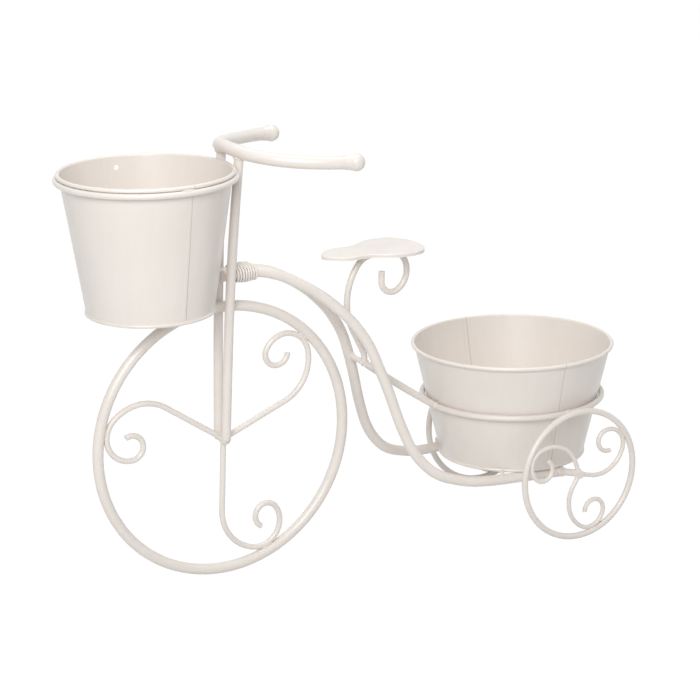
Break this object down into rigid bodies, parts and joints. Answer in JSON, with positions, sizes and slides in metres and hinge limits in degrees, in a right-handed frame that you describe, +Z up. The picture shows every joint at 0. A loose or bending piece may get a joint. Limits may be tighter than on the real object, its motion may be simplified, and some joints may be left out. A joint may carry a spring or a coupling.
{
  "type": "bicycle plant stand",
  "caption": "Welded iron tricycle plant stand with scroll spokes, a swept handlebar, a saddle and round tapered pots held in rings.",
  "frame": {"origin": "the middle of the overall box's footprint, on the floor under the wheels", "axes": "+X towards the back wheels, +Y towards the rider's right when facing the front wheel, +Z up"},
  "size_m": [0.6502, 0.2294, 0.4696],
  "materials": {
    "frame_paint": "satin",
    "pot_paint": "satin"
  },
  "bodies": {
    "frame": {"axle_stub_left": "frame_paint", "axle_stub_right": "frame_paint", "binder": "frame_paint", "crossbar": "frame_paint", "fork_leg_left": "frame_paint", "fork_leg_right": "frame_paint", "frame_tube_left": "frame_paint", "frame_tube_right": "frame_paint", "front_hub": "frame_paint", "front_ring": "frame_paint", "front_wheel_rim": "frame_paint", "front_wheel_spoke_1": "frame_paint", "front_wheel_spoke_2": "frame_paint", "front_wheel_spoke_3": "frame_paint", "handlebar": "frame_paint", "handlebar_end_left": "frame_paint", "handlebar_end_right": "frame_paint", "pot_stop_left": "frame_paint", "pot_stop_right": "frame_paint", "rear_hub_left": "frame_paint", "rear_hub_right": "frame_paint", "rear_ring": "frame_paint", "rear_wheel_left_rim": "frame_paint", "rear_wheel_left_spoke_1": "frame_paint", "rear_wheel_left_spoke_2": "frame_paint", "rear_wheel_left_spoke_3": "frame_paint", "rear_wheel_right_rim": "frame_paint", "rear_wheel_right_spoke_1": "frame_paint", "rear_wheel_right_spoke_2": "frame_paint", "rear_wheel_right_spoke_3": "frame_paint", "seat": "frame_paint", "seat_wire": "frame_paint", "strut": "frame_paint", "wheel_stay_left": "frame_paint", "wheel_stay_right": "frame_paint"},
    "front_pot": {"front_pot_wall": "pot_paint", "front_pot_base": "pot_paint"},
    "rear_pot": {"rear_pot_wall": "pot_paint", "rear_pot_base": "pot_paint"}
  },
  "joints": [
    {"name": "front_pot_lift", "type": "slide", "parent": "frame", "child": "front_pot", "axis": [0, 0, 1], "range_m": [0, 0.0055]},
    {"name": "rear_pot_lift", "type": "slide", "parent": "frame", "child": "rear_pot", "axis": [0, 0, 1], "range_m": [0, 0.14]}
  ]
}
